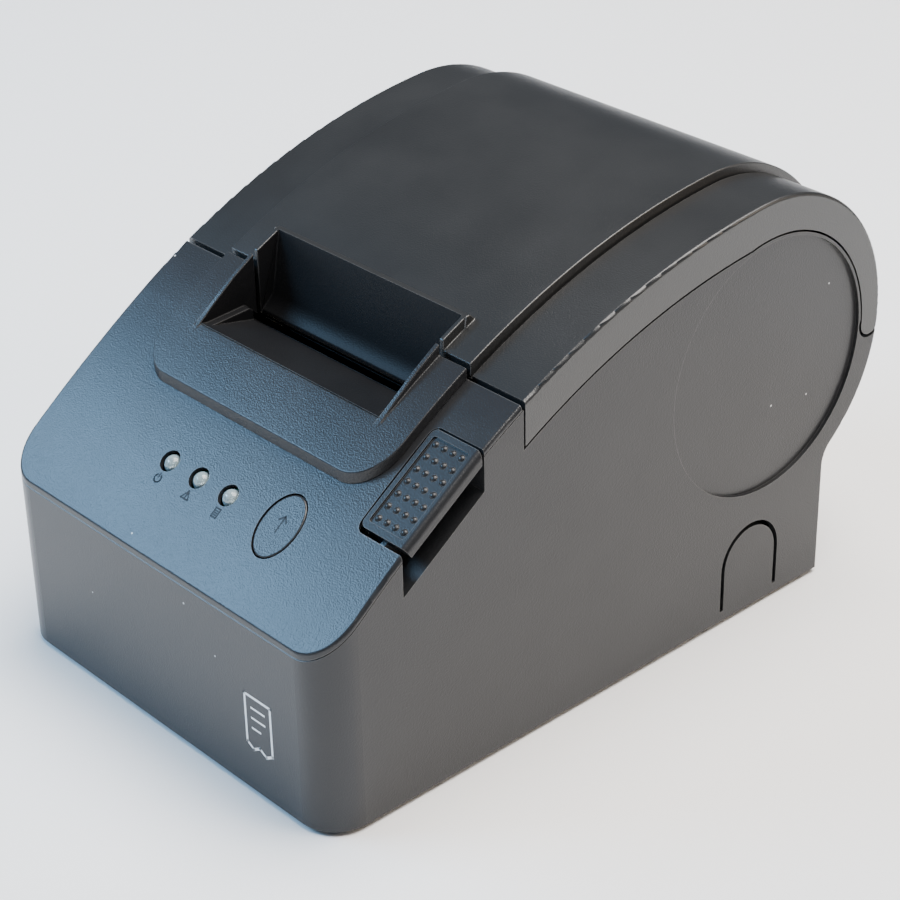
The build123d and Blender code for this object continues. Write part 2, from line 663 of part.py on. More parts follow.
# Gear train down the left side; the teeth of each pair sit in mesh at rest
pinion_mesh_turn = 4.0
gears = {
    "platen_gear": (platen_teeth, platen_y, platen_z, shaft_radius, 180 / platen_teeth),
    "idler_gear": (idler_teeth, idler_y, idler_z, 1.5 + running_gap, 0.0),
    "motor_pinion": (pinion_teeth, pinion_y, pinion_z, 1.0, pinion_mesh_turn),
}
for name, (teeth, y, z, bore, turn) in gears.items():
    plane = Plane((gear_x[0], y, z), x_dir=(0, 0, 1), z_dir=(1, 0, 0))
    with BuildPart() as gear:
        extrude(gear_face(teeth, plane, turn), amount=gear_x[1] - gear_x[0])
        rod(gear_x, y, z, bore, mode=Mode.SUBTRACT)
    save(gear, name)

# Printing mechanism: sheet-steel frame with slots for the platen shaft
side_plate = [(-48, 44), (-20, 44), (-20, 66), (-25, 76), (-27, 82), (-41, 82), (-41, 85.2), (-48, 85.2)]
idler_stud_x = (-39.5, -frame_half)
with BuildPart() as mech_frame:
    for x in both_sides(frame_half - frame_sheet, frame_half):
        add(across(side_polygon(side_plate), *x))
    block((-frame_half, frame_half), (-48, -46.8), (62, 85.2))
    block((-frame_half, frame_half), (-48, -41.5), (84.4, 85.2))
    block((-frame_half, frame_half), (-48, -20), (44, 45.2))
    block((-40, 40), (platen_y - 2.4, platen_y + 2.9), (platen_z - 2.4, 90), mode=Mode.SUBTRACT)
    rod((-34, -30), pinion_y, pinion_z, 3.0, mode=Mode.SUBTRACT)
    rod((-34, -30), idler_y, idler_z, 1.5, mode=Mode.SUBTRACT)
save(mech_frame, "mech_frame")

with BuildPart() as idler_stud:
    rod((idler_stud_x[0], -frame_half + frame_sheet), idler_y, idler_z, 1.5)
    rod((idler_stud_x[0], gear_x[0] - 0.3), idler_y, idler_z, 2.4)
save(idler_stud, "idler_stud")

with BuildPart() as stepper_motor:
    rod((-30.9, -15), pinion_y, pinion_z, 10)
    rod((-31.6, -30.9), pinion_y, pinion_z, 2.5)
    rod((-34, -30), pinion_y, pinion_z, 1.1, mode=Mode.SUBTRACT)
save(stepper_motor, "stepper_motor")

with BuildPart() as motor_shaft:
    rod((-37.5, -31.9), pinion_y, pinion_z, 1.0)
save(motor_shaft, "motor_shaft")

# Print head: ceramic strip on an aluminium bar that rocks on a pin against two leaf springs
head_pivot = (-41.2, 69.6)
with BuildPart() as print_head:
    block((-paper_half, paper_half), (head_face_y - 1.0, head_face_y), (70, 83.2))
save(print_head, "print_head")

with BuildPart() as head_bar:
    block((-28, 28), (head_face_y - 4.0, head_face_y - 1.0), (70, 82.4))
    rod((-28, 28), *head_pivot, 1.8)
    rod((-30, 30), *head_pivot, 1.0 + running_gap, mode=Mode.SUBTRACT)
save(head_bar, "head_bar")

with BuildPart() as head_pin:
    rod((-frame_half + frame_sheet, frame_half - frame_sheet), *head_pivot, 1.0)
save(head_pin, "head_pin")

leaf_outline = [(-46.8, 66), (-46.3, 66), (-46.3, 73), (-42.3, 78), (-42.7, 78.4), (-46.8, 73.2)]
with BuildPart() as head_springs:
    for x in (-18, 18):
        add(across(side_polygon(leaf_outline), x - 3, x + 3))
save(head_springs, "head_springs")

# Inner frame: shelf for the mechanism, deck and paper well
with BuildPart() as inner_frame:
    block((-inner_half, inner_half), (-50, deck_front_y + sheet), (shelf_z - sheet, shelf_z))
    block((-inner_half, inner_half), (deck_front_y, deck_front_y + sheet), (shelf_z - sheet, deck_z))
    block((-inner_half, inner_half), (deck_front_y, 90), (deck_z - sheet, deck_z))
    rod((-well_half - sheet, well_half + sheet), roll_y, roll_z, well_radius + sheet)
    block((-50, 50), (0, 110), (deck_z, above_all), mode=Mode.SUBTRACT)
    for x in both_sides(well_half, well_half + sheet):
        rod(x, roll_y, roll_z, well_radius - 4)
    rod((-well_half, well_half), roll_y, roll_z, well_radius, mode=Mode.SUBTRACT)
    block(around(0, well_half), around(roll_y, well_radius), (roll_z, above_all), mode=Mode.SUBTRACT)
    for x, y, z in frame_screw_spots:
        stud(x, y, (z - sheet - 1, z + 1), 1.2, mode=Mode.SUBTRACT)
    block((-12, -4), (-6, 0), (60, 80), mode=Mode.SUBTRACT)
save(inner_frame, "inner_frame")

with BuildPart() as frame_screws:
    for x, y, z in frame_screw_spots:
        stud(x, y, (z, z + 1.6), 2.6)
        stud(x, y, (z - 8, z + 0.1), 1.2)
save(frame_screws, "frame_screws")

with BuildPart() as paper_sensor:
    block((-12, -4), (-6, 0), (65.5, deck_z))
    block((-13, -3), (-7, 1), (65.5, deck_z - sheet))
save(paper_sensor, "paper_sensor")

# Main board with its parts and the sockets that face the cable bay
with BuildPart() as main_board:
    block((-56, 56), (-90, 28), (board_z, board_z + board_thick))
    for x, y in board_post_spots:
        stud(x, y, (board_z - 1, board_z + 3), 1.0, mode=Mode.SUBTRACT)
    for x, y in cover_screw_spots:
        stud(x, y, (board_z - 1, board_z + 3), 6.4, mode=Mode.SUBTRACT)
save(main_board, "main_board")
board_top = board_z + board_thick

with BuildPart() as board_screws:
    for x, y in board_post_spots:
        stud(x, y, (board_top, board_top + 1.5), 2.2)
        stud(x, y, (foot_height + 2, board_top + 0.1), 1.0)
save(board_screws, "board_screws")

with BuildPart() as usb_socket:
    block((-6, 6), (19, 35.5), (board_top, 20.6))
    block((-4.2, 4.2), (27, 36), (11.2, 19.0), mode=Mode.SUBTRACT)
    block((-2.8, 2.8), (26, 35), (13.6, 16.6))
save(usb_socket, "usb_socket")

with BuildPart() as drawer_socket:
    block((19, 32), (17, 35.5), (board_top, 22.2))
    block((20.6, 30.4), (22, 36), (11.4, 18.0), mode=Mode.SUBTRACT)
    block((23.5, 27.5), (22, 36), (17.9, 20.4), mode=Mode.SUBTRACT)
save(drawer_socket, "drawer_socket")

with BuildPart() as dc_jack:
    block((-34.5, -25.5), (21, 35.5), (board_top, 20.6))
    with Locations(Location((-30, 31, 15.2), (90, 0, 0))):
        Cylinder(2.9, 10, mode=Mode.SUBTRACT)
        Cylinder(1.0, 10)
save(dc_jack, "dc_jack")

with BuildPart() as main_processor:
    block((-10, 4), (-38, -24), (board_top, board_top + 1.6))
    fillet(main_processor.edges().filter_by(Axis.Z), 0.4)
save(main_processor, "main_processor")

with BuildPart() as power_capacitors:
    for x in (-38, -26):
        stud(x, 6, (board_top, board_top + 13), 4.0)
    fillet(power_capacitors.edges().group_by(Axis.Z)[-1], 0.6)
save(power_capacitors, "power_capacitors")

with BuildPart() as buzzer:
    stud(36, -20, (board_top, board_top + 8), 6.0)
    stud(36, -20, (board_top + 6, board_top + 9), 1.2, mode=Mode.SUBTRACT)
save(buzzer, "buzzer")

with BuildPart() as ribbon_header:
    block((-1, 27), (-57.5, -52.5), (board_top, board_top + 5))
    block((0.9, 25.1), (-55.2, -54.8), (board_top + 2, board_top + 6), mode=Mode.SUBTRACT)
save(ribbon_header, "ribbon_header")

# Flat cable from the print head down to its header
ribbon_half = 0.15
with BuildSketch(Plane.YZ.offset(1)) as ribbon_profile:
    with BuildLine() as ribbon_line:
        FilletPolyline((-43.4, 67.4), (-43.4, 56), (-55, 46), (-55, board_top + 2.2), radius=4)
        offset(amount=ribbon_half, kind=Kind.ARC)
    make_face()
with BuildPart() as head_ribbon:
    extrude(ribbon_profile.sketch, amount=24)
save(head_ribbon, "head_ribbon")

# Power switch, sunk in the left wall
rocker_pivot_x = -59.8
with BuildPart() as power_switch_body:
    block((-65.8, -52), (switch_y - 9.6, switch_y + 9.6), (switch_z - 6.6, switch_z + 6.6))
    block((-70, -53.5), around(switch_y, 8.4), around(switch_z, 5.2), mode=Mode.SUBTRACT)
    stud(rocker_pivot_x, switch_y, (switch_z - 6, switch_z + 6), 1.0)
save(power_switch_body, "power_switch_body")

rocker_points = [(-5.6, -7.4), (-4.6, 0), (-5.6, 7.4), (-2, 7.7), (2, 4), (3, 0), (2, -4), (-2, -7.7)]
rocker_plane = Plane((rocker_pivot_x, switch_y, switch_z - 4.9), x_dir=direction(8) + (0,), z_dir=(0, 0, 1))
with BuildSketch(rocker_plane) as rocker_outline:
    with BuildLine():
        Polyline(*rocker_points, close=True)
    make_face()
    Circle(1.0 + running_gap, mode=Mode.SUBTRACT)
with BuildPart() as power_rocker:
    extrude(rocker_outline.sketch, amount=9.8)
save(power_rocker, "power_rocker")

with BuildPart() as hinge_pins:
    for x in both_sides(knuckle_x[0] - 0.4, ear_x[1]):
        rod(x, hinge_y, hinge_z, hinge_pin_radius)
save(hinge_pins, "hinge_pins")
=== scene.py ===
import bpy
import json
from math import cos, radians, sin, sqrt
from mathutils import Matrix, Quaternion, Vector

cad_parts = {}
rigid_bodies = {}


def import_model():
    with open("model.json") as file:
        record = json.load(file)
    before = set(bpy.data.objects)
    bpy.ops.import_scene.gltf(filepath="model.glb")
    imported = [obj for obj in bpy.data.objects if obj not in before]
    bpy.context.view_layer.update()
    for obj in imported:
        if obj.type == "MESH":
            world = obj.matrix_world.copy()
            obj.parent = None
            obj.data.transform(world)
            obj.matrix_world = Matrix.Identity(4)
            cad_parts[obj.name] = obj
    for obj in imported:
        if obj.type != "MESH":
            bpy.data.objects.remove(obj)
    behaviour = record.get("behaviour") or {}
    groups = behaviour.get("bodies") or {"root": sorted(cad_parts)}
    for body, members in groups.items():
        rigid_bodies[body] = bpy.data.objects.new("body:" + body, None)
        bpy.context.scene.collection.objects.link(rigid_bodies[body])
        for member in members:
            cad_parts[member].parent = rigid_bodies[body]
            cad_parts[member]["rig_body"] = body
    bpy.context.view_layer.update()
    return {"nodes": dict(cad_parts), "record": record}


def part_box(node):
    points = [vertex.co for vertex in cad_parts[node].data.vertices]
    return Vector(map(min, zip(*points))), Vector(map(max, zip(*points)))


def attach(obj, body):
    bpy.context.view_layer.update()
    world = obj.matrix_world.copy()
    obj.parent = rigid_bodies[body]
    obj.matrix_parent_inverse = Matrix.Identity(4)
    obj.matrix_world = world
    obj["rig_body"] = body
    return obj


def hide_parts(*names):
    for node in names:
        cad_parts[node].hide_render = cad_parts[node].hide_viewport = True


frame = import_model()
nodes = frame["nodes"]
mm = 0.001
print("frame loaded:", len(nodes), "nodes")


# small helpers for picking, applying and finishing a piece

def selectNone():
    if bpy.context.object and bpy.context.object.mode != "OBJECT":
        bpy.ops.object.mode_set(mode="OBJECT")
    bpy.ops.object.select_all(action="DESELECT")


def pickObject(piece):
    selectNone()
    piece.select_set(True)
    bpy.context.view_layer.objects.active = piece


def applyModifiers(piece):
    pickObject(piece)
    for modifier in list(piece.modifiers):
        bpy.ops.object.modifier_apply(modifier=modifier.name)


def smoothPiece(piece, angle=32):
    pickObject(piece)
    bpy.ops.object.shade_smooth_by_angle(angle=radians(angle))


def settlePiece(piece):
    pickObject(piece)
    bpy.ops.object.transform_apply(location=True, rotation=True, scale=True)


def wearMaterial(piece, material):
    piece.data.materials.clear()
    piece.data.materials.append(material)


# shader groups that several materials share

def newGroup(name, inputs, outputs):
    group = bpy.data.node_groups.new(name, "ShaderNodeTree")
    for label, default in inputs:
        socket = group.interface.new_socket(name=label, in_out="INPUT", socket_type="NodeSocketFloat")
        socket.default_value = default
    for label in outputs:
        group.interface.new_socket(name=label, in_out="OUTPUT", socket_type="NodeSocketFloat")
    entry = group.nodes.new("NodeGroupInput")
    leave = group.nodes.new("NodeGroupOutput")
    return group, entry, leave


def buildMouldGrain():
    group, entry, leave = newGroup("mouldGrain", [("Scale", 1800.0)], ["Height", "Tone"])
    add, link = group.nodes.new, group.links.new
    place = add("ShaderNodeTexCoord")
    fine = add("ShaderNodeTexNoise")      # spark-eroded mould texture
    fine.inputs["Detail"].default_value = 3.0
    fine.inputs["Roughness"].default_value = 0.6
    cells = add("ShaderNodeTexVoronoi")
    cells.feature = "SMOOTH_F1"
    cells.inputs["Smoothness"].default_value = 0.6
    tone = add("ShaderNodeTexNoise")      # slow variation in sheen
    tone.inputs["Scale"].default_value = 38.0
    tone.inputs["Detail"].default_value = 4.0
    both = add("ShaderNodeMath")
    both.operation = "ADD"
    for texture in (fine, cells, tone):
        link(place.outputs["Object"], texture.inputs["Vector"])
    for texture in (fine, cells):
        link(entry.outputs["Scale"], texture.inputs["Scale"])
    link(fine.outputs["Fac"], both.inputs[0])
    link(cells.outputs["Distance"], both.inputs[1])
    link(both.outputs["Value"], leave.inputs["Height"])
    link(tone.outputs["Fac"], leave.inputs["Tone"])
    return group


def buildDustSpecks():
    group, entry, leave = newGroup("dustSpecks", [("Scale", 160.0), ("Amount", 0.06)], ["Mask"])
    add, link = group.nodes.new, group.links.new
    place = add("ShaderNodeTexCoord")
    cells = add("ShaderNodeTexVoronoi")
    cells.inputs["Randomness"].default_value = 1.0
    near = add("ShaderNodeMath")
    near.operation = "LESS_THAN"
    near.inputs[1].default_value = 0.055
    few = add("ShaderNodeMath")
    few.operation = "LESS_THAN"
    split = add("ShaderNodeSeparateColor")
    both = add("ShaderNodeMath")
    both.operation = "MULTIPLY"
    link(place.outputs["Object"], cells.inputs["Vector"])
    link(entry.outputs["Scale"], cells.inputs["Scale"])
    link(cells.outputs["Distance"], near.inputs[0])
    link(cells.outputs["Color"], split.inputs["Color"])
    link(split.outputs["Red"], few.inputs[0])
    link(entry.outputs["Amount"], few.inputs[1])
    link(near.outputs["Value"], both.inputs[0])
    link(few.outputs["Value"], both.inputs[1])
    link(both.outputs["Value"], leave.inputs["Mask"])
    return group


# painted highlight and wear: edges get a lighter colour, partly for rubbed wear and partly as a painted edge
# highlight
def buildEdgeWearAndHighlight():
    group, entry, leave = newGroup("edgeWearAndHighlight", [("Radius", 0.0004), ("Spread", 38.0)], ["Mask"])
    add, link = group.nodes.new, group.links.new
    rounded = add("ShaderNodeBevel")      # how far a rounded edge would lean from the face
    rounded.samples = 4
    true = add("ShaderNodeNewGeometry")
    meet = add("ShaderNodeVectorMath")
    meet.operation = "DOT_PRODUCT"
    lean = add("ShaderNodeMapRange")
    lean.inputs["From Min"].default_value = 0.985
    lean.inputs["From Max"].default_value = 0.8
    place = add("ShaderNodeTexCoord")
    patch = add("ShaderNodeTexNoise")     # patchy, as the lighter edge is partly rubbed wear and partly painted highlight
    patch.inputs["Detail"].default_value = 3.0
    both = add("ShaderNodeMath")
    both.operation = "MULTIPLY"
    link(entry.outputs["Radius"], rounded.inputs["Radius"])
    link(rounded.outputs["Normal"], meet.inputs[0])
    link(true.outputs["Normal"], meet.inputs[1])
    link(meet.outputs["Value"], lean.inputs["Value"])
    link(place.outputs["Object"], patch.inputs["Vector"])
    link(entry.outputs["Spread"], patch.inputs["Scale"])
    link(lean.outputs["Result"], both.inputs[0])
    link(patch.outputs["Fac"], both.inputs[1])
    link(both.outputs["Value"], leave.inputs["Mask"])
    return group


mouldGrain = buildMouldGrain()
edgeWearAndHighlight = buildEdgeWearAndHighlight()
dustSpecks = buildDustSpecks()


def startMaterial(name):
    material = bpy.data.materials.new(name)
    material.use_nodes = True
    shader = material.node_tree.nodes["Principled BSDF"]
    return material, material.node_tree.nodes.new, material.node_tree.links.new, shader


def useGroup(add, group, **values):
    holder = add("ShaderNodeGroup")
    holder.node_tree = group
    for label, value in values.items():
        holder.inputs[label].default_value = value
    return holder


def mouldedPlastic(name, look):
    material, add, link, shader = startMaterial(name)
    grain = useGroup(add, mouldGrain, Scale=look["grainScale"])
    ramp = add("ShaderNodeValToRGB")      # a little lighter where the tone rises
    ramp.color_ramp.elements[0].position = 0.3
    ramp.color_ramp.elements[1].position = 0.7
    ramp.color_ramp.elements[0].color = (*look["dark"], 1)
    ramp.color_ramp.elements[1].color = (*look["light"], 1)
    link(grain.outputs["Tone"], ramp.inputs["Fac"])
    colour = ramp.outputs["Color"]
    if look.get("dust"):
        dust = useGroup(add, dustSpecks, Scale=look["dustScale"], Amount=look["dust"])
        mixer = add("ShaderNodeMix")
        mixer.data_type = "RGBA"
        mixer.inputs[7].default_value = (*dustColour, 1)
        link(dust.outputs["Mask"], mixer.inputs[0])
        link(colour, mixer.inputs[6])
        colour = mixer.outputs[2]
    # lighter edges: partly rubbed wear, partly painted highlight
    if look.get("edgeWearHighlight"):
        wornAndLitEdge = useGroup(add, edgeWearAndHighlight, Radius=look["edgeWearHighlight"] * mm)
        rubbedAndHighlightMix = add("ShaderNodeMix")
        rubbedAndHighlightMix.data_type = "RGBA"
        rubbedAndHighlightMix.inputs[7].default_value = (*rubbedAndHighlightColour, 1)
        link(wornAndLitEdge.outputs["Mask"], rubbedAndHighlightMix.inputs[0])
        link(colour, rubbedAndHighlightMix.inputs[6])
        colour = rubbedAndHighlightMix.outputs[2]
    link(colour, shader.inputs["Base Color"])
    rough = add("ShaderNodeMapRange")
    rough.inputs["To Min"].default_value = look["rough"][0]
    rough.inputs["To Max"].default_value = look["rough"][1]
    link(grain.outputs["Tone"], rough.inputs["Value"])
    link(rough.outputs["Result"], shader.inputs["Roughness"])
    bump = add("ShaderNodeBump")
    bump.inputs["Strength"].default_value = look["bump"]
    bump.inputs["Distance"].default_value = 0.00006
    link(grain.outputs["Height"], bump.inputs["Height"])
    link(bump.outputs["Normal"], shader.inputs["Normal"])
    shader.inputs["IOR"].default_value = look.get("ior", 1.5)
    return material


def metalSheet(name, look):
    material, add, link, shader = startMaterial(name)
    place = add("ShaderNodeTexCoord")
    stretch = add("ShaderNodeMapping")    # brushing runs along the chosen axis
    stretch.inputs["Scale"].default_value = look["brush"]
    link(place.outputs["Object"], stretch.inputs["Vector"])
    streaks = add("ShaderNodeTexNoise")
    streaks.inputs["Scale"].default_value = 1.0
    streaks.inputs["Detail"].default_value = 4.0
    link(stretch.outputs["Vector"], streaks.inputs["Vector"])
    ramp = add("ShaderNodeValToRGB")
    ramp.color_ramp.elements[0].color = (*[part * 0.82 for part in look["colour"]], 1)
    ramp.color_ramp.elements[1].color = (*look["colour"], 1)
    link(streaks.outputs["Fac"], ramp.inputs["Fac"])
    link(ramp.outputs["Color"], shader.inputs["Base Color"])
    rough = add("ShaderNodeMapRange")
    rough.inputs["To Min"].default_value = look["rough"][0]
    rough.inputs["To Max"].default_value = look["rough"][1]
    link(streaks.outputs["Fac"], rough.inputs["Value"])
    link(rough.outputs["Result"], shader.inputs["Roughness"])
    bump = add("ShaderNodeBump")
    bump.inputs["Strength"].default_value = 0.25
    bump.inputs["Distance"].default_value = 0.00003
    link(streaks.outputs["Fac"], bump.inputs["Height"])
    link(bump.outputs["Normal"], shader.inputs["Normal"])
    shader.inputs["Metallic"].default_value = 1.0
    return material


dustColour = (0.45, 0.46, 0.46)
# lighter colour on sharp edges: partly rubbed wear, partly painted highlight
rubbedAndHighlightColour = (0.16, 0.155, 0.15)
# the edge radius in mm sets the lighter edges, partly rubbed wear and partly painted highlight
plasticLooks = {
    "casePlastic": {"dark": (0.014, 0.0145, 0.016), "light": (0.019, 0.0195, 0.021), "rough": (0.29, 0.35),
                    "grainScale": 2300.0, "bump": 0.6, "dust": 0.03, "dustScale": 170.0, "edgeWearHighlight": 0.35,
                    "ior": 1.43},
    "lidPlastic": {"dark": (0.012, 0.0125, 0.013), "light": (0.016, 0.0165, 0.017), "rough": (0.3, 0.37),
                   "grainScale": 2300.0, "bump": 0.5, "dust": 0.03, "dustScale": 170.0, "edgeWearHighlight": 0.35,
                   "ior": 1.6},
    # painted shade: a darker, less glossy copy of the case plastic for the walls inside the paper exit
    "recessPaintedShade": {"dark": (0.006, 0.0062, 0.007), "light": (0.009, 0.0092, 0.01), "rough": (0.42, 0.5),
                      "grainScale": 2300.0, "bump": 0.5, "ior": 1.22, "edgeWearHighlight": 0.3},
    "padPlastic": {"dark": (0.012, 0.0125, 0.014), "light": (0.016, 0.0165, 0.018), "rough": (0.3, 0.37),
                   "grainScale": 2200.0, "bump": 0.35, "ior": 1.42, "edgeWearHighlight": 0.3},
    "innerPlastic": {"dark": (0.012, 0.012, 0.013), "light": (0.018, 0.018, 0.019), "rough": (0.5, 0.62),
                     "grainScale": 1200.0, "bump": 0.5},
    "footRubber": {"dark": (0.012, 0.012, 0.012), "light": (0.02, 0.02, 0.02), "rough": (0.75, 0.88),
                   "grainScale": 900.0, "bump": 0.8},
    "platenRubber": {"dark": (0.02, 0.02, 0.021), "light": (0.03, 0.03, 0.031), "rough": (0.6, 0.7),
                     "grainScale": 2600.0, "bump": 0.6},
    "boardGreen": {"dark": (0.008, 0.07, 0.022), "light": (0.012, 0.1, 0.03), "rough": (0.28, 0.38),
                   "grainScale": 700.0, "bump": 0.3},
    "chipBlack": {"dark": (0.012, 0.012, 0.013), "light": (0.02, 0.02, 0.021), "rough": (0.42, 0.52),
                  "grainScale": 2400.0, "bump": 0.5},
    "sleeveBlue": {"dark": (0.01, 0.015, 0.06), "light": (0.015, 0.022, 0.08), "rough": (0.24, 0.3),
                   "grainScale": 600.0, "bump": 0.1},
    "headerIvory": {"dark": (0.6, 0.55, 0.42), "light": (0.7, 0.65, 0.52), "rough": (0.4, 0.5),
                    "grainScale": 1500.0, "bump": 0.3},
    "gearAcetal": {"dark": (0.68, 0.66, 0.6), "light": (0.78, 0.76, 0.7), "rough": (0.32, 0.42),
                   "grainScale": 1500.0, "bump": 0.25},
    "headCeramic": {"dark": (0.5, 0.42, 0.3), "light": (0.58, 0.5, 0.38), "rough": (0.18, 0.26),
                    "grainScale": 2500.0, "bump": 0.15},
    "cableFilm": {"dark": (0.62, 0.62, 0.6), "light": (0.7, 0.7, 0.68), "rough": (0.35, 0.45),
                  "grainScale": 400.0, "bump": 0.2},
}
metalLooks = {
    "brightSteel": {"colour": (0.78, 0.78, 0.79), "rough": (0.16, 0.28), "brush": (60, 2500, 2500)},
    "frameSteel": {"colour": (0.6, 0.61, 0.63), "rough": (0.28, 0.42), "brush": (900, 900, 900)},
    "screwSteel": {"colour": (0.33, 0.33, 0.34), "rough": (0.3, 0.45), "brush": (1500, 1500, 1500)},
    "socketNickel": {"colour": (0.75, 0.75, 0.74), "rough": (0.14, 0.24), "brush": (400, 1500, 400)},
    "motorCan": {"colour": (0.62, 0.62, 0.6), "rough": (0.24, 0.36), "brush": (300, 1500, 1500)},
    "headAluminium": {"colour": (0.76, 0.77, 0.78), "rough": (0.3, 0.4), "brush": (80, 1800, 1800)},
}
surface = {name: mouldedPlastic(name, look) for name, look in plasticLooks.items()}
surface.update({name: metalSheet(name, look) for name, look in metalLooks.items()})

slotSurface = {
    "case_plastic": "casePlastic", "inner_plastic": "innerPlastic", "foot_rubber": "footRubber",
    "platen_rubber": "platenRubber", "bright_steel": "brightSteel", "frame_steel": "frameSteel",
    "screw_steel": "screwSteel", "circuit_board": "boardGreen", "black_component": "chipBlack",
    "capacitor_sleeve": "sleeveBlue", "connector_plastic": "headerIvory", "socket_metal": "socketNickel",
    "motor_can": "motorCan", "gear_plastic": "gearAcetal", "head_ceramic": "headCeramic",
    "head_aluminium": "headAluminium", "flat_cable": "cableFilm",
}
nodeSlot = {entry["node"]: entry["material_slot"] for entry in frame["record"]["subparts"]}
for nodeName, node in nodes.items():
    if nodeSlot[nodeName] in slotSurface:
        for place in node.material_slots:
            place.material = surface[slotSurface[nodeSlot[nodeName]]]
print("surfaces made:", len(surface))


# camera, lights and floor

def buildCamera():
    look = {"spot": (0.4326, -0.3880, 0.3758), "aim": (0.0, 0.0002, 0.0444), "lens": 97.55, "roll": 1.19}
    data = bpy.data.cameras.new("benchCamera")
    camera = bpy.data.objects.new("benchCamera", data)
    bpy.context.scene.collection.objects.link(camera)
    data.lens = look["lens"]
    data.sensor_width = 36.0
    data.clip_start = 0.02
    data.clip_end = 20.0
    spot, aim = Vector(look["spot"]), Vector(look["aim"])
    turn = (aim - spot).to_track_quat("-Z", "Y")
    turn = turn @ Quaternion((0, 0, 1), radians(-look["roll"]))
    camera.matrix_world = Matrix.Translation(spot) @ turn.to_matrix().to_4x4()
    bpy.context.scene.camera = camera


def softLight(name, spot, aim, size, power, colour):
    data = bpy.data.lights.new(name, "AREA")
    data.shape = "RECTANGLE"
    data.size, data.size_y = size
    data.energy = power
    data.color = colour
    lamp = bpy.data.objects.new(name, data)
    bpy.context.scene.collection.objects.link(lamp)
    lamp.location = spot
    lamp.rotation_euler = (Vector(aim) - Vector(spot)).to_track_quat("-Z", "Y").to_euler()
    return lamp


studioLook = {
    "roomColour": (0.75, 0.85, 1.0), "roomStrength": 0.16,
    "floorColour": (0.97, 0.965, 0.96), "floorRough": 0.8, "floorSize": 6.0, "aim": (0, -0.02, 0.06),
    "window": {"spot": (-0.93, -0.80, 0.86), "size": (0.85, 0.34), "power": 24.0,
               "colour": (0.34, 0.64, 1.0)},
    "top": {"spot": (0.25, 0.35, 1.7), "size": (1.5, 1.3), "power": 84.0, "colour": (1.0, 0.96, 0.92)},
    "warm": {"spot": (1.3, 0.9, 0.9), "size": (0.9, 0.7), "power": 9.0, "colour": (1.0, 0.8, 0.6)},
}


def buildStudio():
    world = bpy.data.worlds.new("paleRoom")
    bpy.context.scene.world = world
    world.use_nodes = True
    world.node_tree.nodes["Background"].inputs["Color"].default_value = (*studioLook["roomColour"], 1)
    world.node_tree.nodes["Background"].inputs["Strength"].default_value = studioLook["roomStrength"]
    selectNone()
    bpy.ops.mesh.primitive_plane_add(size=studioLook["floorSize"], location=(0, 0, 0))
    floor = bpy.context.object
    floor.name = "paleFloor"
    material, add, link, shader = startMaterial("floorCard")
    shader.inputs["Base Color"].default_value = (*studioLook["floorColour"], 1)
    shader.inputs["Roughness"].default_value = studioLook["floorRough"]
    wearMaterial(floor, material)
    for name in ("window", "top", "warm"):
        lamp = studioLook[name]
        softLight(name + "Light", lamp["spot"], studioLook["aim"], lamp["size"], lamp["power"],
                  lamp["colour"])


buildCamera()
buildStudio()
print("camera and lights set")


# the two shells round the paper exit, with softened edges

def refineShell(nodeName, look):
    source = nodes[nodeName]
    piece = source.copy()
    piece.data = source.data.copy()
    for key in list(piece.keys()):
        del piece[key]
    piece.parent = None
    piece.name = look["piece"]
    piece.data.name = look["piece"]
    bpy.context.scene.collection.objects.link(piece)
    pickObject(piece)
    bpy.ops.object.mode_set(mode="EDIT")
    bpy.ops.mesh.select_all(action="SELECT")
    bpy.ops.mesh.customdata_custom_splitnormals_clear()
    bpy.ops.mesh.remove_doubles(threshold=0.000005)
    bpy.ops.mesh.dissolve_limited(angle_limit=radians(0.3))
    bpy.ops.object.mode_set(mode="OBJECT")
    soft = piece.modifiers.new("softEdges", "BEVEL")
    soft.width = look["edge"] * mm
    soft.segments = 3
    soft.limit_method = "ANGLE"
    soft.angle_limit = radians(38)
    soft.use_clamp_overlap = False
    soft.miter_outer = "MITER_ARC"
    applyModifiers(piece)
    smoothPiece(piece, 40)
    weigh = piece.modifiers.new("evenNormals", "WEIGHTED_NORMAL")
    weigh.weight = 80
    weigh.keep_sharp = True
    applyModifiers(piece)
    wearMaterial(piece, surface[look["surface"]])
    piece.data.materials.append(surface["recessPaintedShade"])
    reach, front, rear = look["recess"]
    for face in piece.data.polygons:      # painted shade: inside walls of the paper exit get a darker, duller material
        middle = face.center
        inside = abs(middle.x) < reach and front < middle.y < rear
        if inside and not (face.normal.z > 0.6 and middle.z > look["below"]):
            face.material_index = 1
    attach(piece, source["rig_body"])
    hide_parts(nodeName)
    return piece


# edge: width of the softened edge in mm; recess: half width, front and rear of the walls with painted shade,
# in metres
shellLooks = {
    "exit_surround": {"piece": "exitShell", "edge": 0.35, "surface": "casePlastic",
                      "recess": (0.0357, -0.0546, -0.034), "below": 0.0905},
    "lid_panel": {"piece": "lidCover", "edge": 0.35, "surface": "lidPlastic",
                  "recess": (0.0357, -0.036, -0.0262), "below": 0.1},
}
shells = {name: refineShell(name, look) for name, look in shellLooks.items()}
for name, finish in (("lid_frame", "lidPlastic"), ("open_lever", "padPlastic")):
    for place in nodes[name].material_slots:
        place.material = surface[finish]
print("shells refined:", len(shells))


# dark signs on the slope and the button, and a white receipt on the front wall

